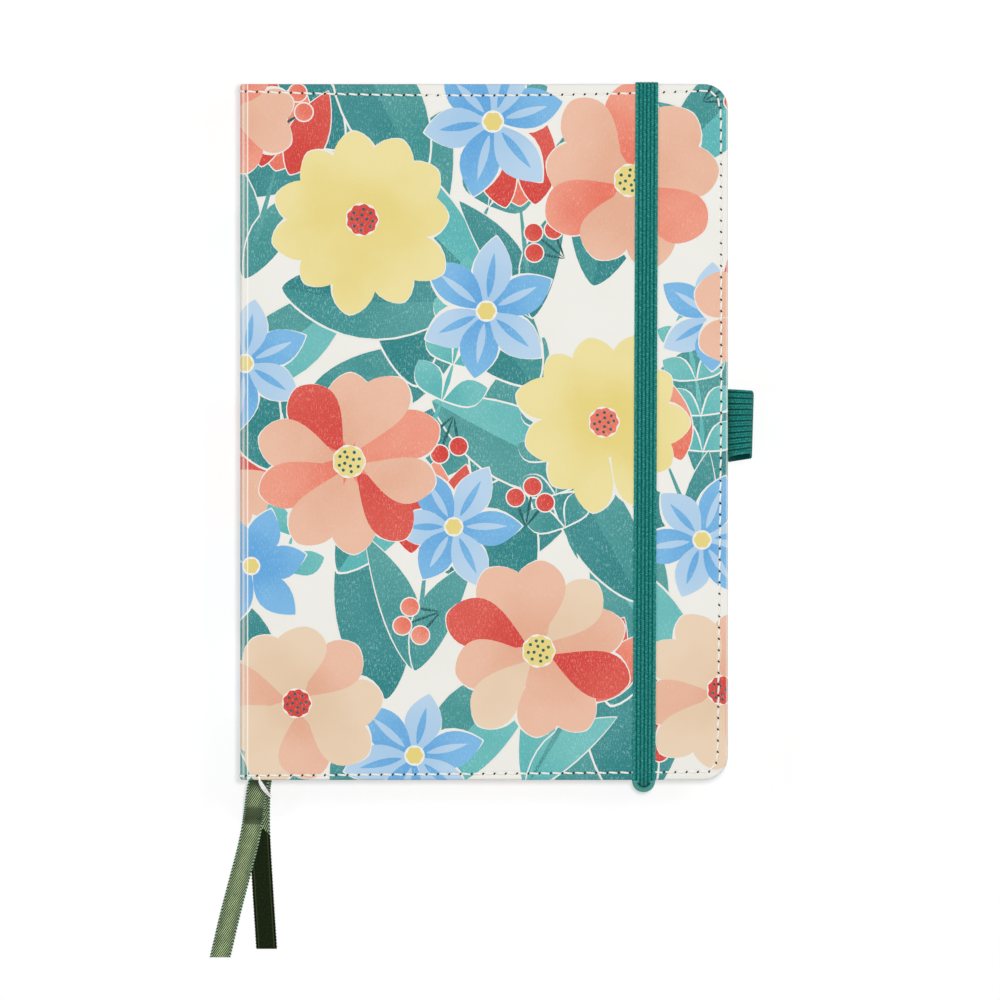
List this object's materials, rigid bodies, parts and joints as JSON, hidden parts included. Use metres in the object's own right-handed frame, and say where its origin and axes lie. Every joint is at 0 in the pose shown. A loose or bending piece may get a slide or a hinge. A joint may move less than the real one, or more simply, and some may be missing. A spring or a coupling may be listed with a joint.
{
  "type": "dot_grid_journal",
  "caption": "A5 hardcover dot grid journal in printed leatherette with an elastic closure band, a pen loop and two ribbon markers; it opens at both joints and its leaves turn.",
  "frame": {"origin": "middle of the back cover's outer face, which lies on the table", "axes": "+Z from the back cover to the front cover, +Y to the head of the pages, +X to the fore-edge; the spine is at -X"},
  "size_m": [0.1666, 0.268, 0.0196],
  "materials": {
    "leatherette": "satin",
    "board": "matte",
    "page_paper": "matte",
    "endpaper": "matte",
    "elastic": "matte",
    "satin": "satin",
    "cloth": "matte",
    "thread": "satin"
  },
  "bodies": {
    "back_cover": {"back_cover_wrap": "leatherette", "back_board": "board", "back_lining": "endpaper", "pen_loop": "elastic", "band_anchor_head": "elastic", "band_anchor_tail": "elastic", "pocket_gusset_head": "endpaper", "pocket_gusset_tail": "endpaper", "ribbon_a_tail": "satin", "ribbon_b_tail": "satin"},
    "text_block": {"signature_01": "page_paper", "signature_02": "page_paper", "signature_03": "page_paper", "signature_04": "page_paper", "signature_05": "page_paper", "signature_06": "page_paper", "signature_07": "page_paper", "signature_08": "page_paper", "signature_09": "page_paper", "signature_10": "page_paper", "signature_11": "page_paper", "signature_12": "page_paper", "back_flyleaf": "endpaper", "sewing_thread_1": "thread", "sewing_thread_2": "thread", "sewing_thread_3": "thread", "sewing_thread_4": "thread", "spine_mull": "cloth", "spine_liner": "endpaper", "spine_board": "board", "spine_wrap": "leatherette", "headband": "cloth", "tailband": "cloth", "ribbon_a_inside": "satin", "ribbon_b_inside": "satin", "front_joint": "leatherette", "back_joint": "leatherette"},
    "front_cover": {"front_cover_wrap": "leatherette", "front_board": "board", "front_lining": "endpaper"},
    "front_flyleaf": {"front_flyleaf": "endpaper"},
    "leaf_1": {"leaf_1": "page_paper"},
    "leaf_2": {"leaf_2": "page_paper"},
    "leaf_3": {"leaf_3": "page_paper"},
    "leaf_4": {"leaf_4": "page_paper"},
    "closure_band": {"closure_band": "elastic"},
    "pocket_panel": {"pocket_panel": "endpaper"}
  },
  "joints": [
    {"name": "front_cover_hinge", "type": "hinge", "parent": "text_block", "child": "front_cover", "pos_m": [-0.07265, 0, 0.01865], "axis": [0, -1, 0], "range_deg": [0, 170], "deforming": ["front_joint"]},
    {"name": "text_block_hinge", "type": "hinge", "parent": "back_cover", "child": "text_block", "pos_m": [-0.07265, 0, 0.0003], "axis": [0, -1, 0], "range_deg": [0, 16], "deforming": ["back_joint"]},
    {"name": "front_flyleaf_turn", "type": "hinge", "parent": "text_block", "child": "front_flyleaf", "pos_m": [-0.07265, 0, 0.01865], "axis": [0, -1, 0], "range_deg": [0, 170]},
    {"name": "leaf_1_turn", "type": "hinge", "parent": "text_block", "child": "leaf_1", "pos_m": [-0.07265, 0, 0.01865], "axis": [0, -1, 0], "range_deg": [0, 170]},
    {"name": "leaf_2_turn", "type": "hinge", "parent": "text_block", "child": "leaf_2", "pos_m": [-0.07265, 0, 0.01865], "axis": [0, -1, 0], "range_deg": [0, 170]},
    {"name": "leaf_3_turn", "type": "hinge", "parent": "text_block", "child": "leaf_3", "pos_m": [-0.07265, 0, 0.01865], "axis": [0, -1, 0], "range_deg": [0, 170]},
    {"name": "leaf_4_turn", "type": "hinge", "parent": "text_block", "child": "leaf_4", "pos_m": [-0.07265, 0, 0.01865], "axis": [0, -1, 0], "range_deg": [0, 170]},
    {"name": "band_release", "type": "hinge", "parent": "back_cover", "child": "closure_band", "pos_m": [0.0494, 0, 0.0012], "axis": [0, 1, 0], "range_deg": [0, 180], "deforming": ["closure_band"]},
    {"name": "pocket_hinge", "type": "hinge", "parent": "back_cover", "child": "pocket_panel", "pos_m": [0.06815, 0, 0.00335], "axis": [0, 1, 0], "range_deg": [0, 2.4], "deforming": ["pocket_gusset_head", "pocket_gusset_tail"]}
  ],
  "couplings": [
    {"joint": "text_block_hinge", "follows": "front_cover_hinge", "ratio": 0.0941},
    {"joint": "front_flyleaf_turn", "follows": "front_cover_hinge", "ratio": 0.97},
    {"joint": "leaf_1_turn", "follows": "front_cover_hinge", "ratio": 0.93},
    {"joint": "leaf_2_turn", "follows": "front_cover_hinge", "ratio": 0.86},
    {"joint": "leaf_3_turn", "follows": "front_cover_hinge", "ratio": 0.45},
    {"joint": "leaf_4_turn", "follows": "front_cover_hinge", "ratio": 0.1},
    {"joint": "band_release", "follows": "front_cover_hinge", "ratio": 1.0588},
    {"joint": "pocket_hinge", "follows": "front_cover_hinge", "ratio": 0.0141}
  ]
}
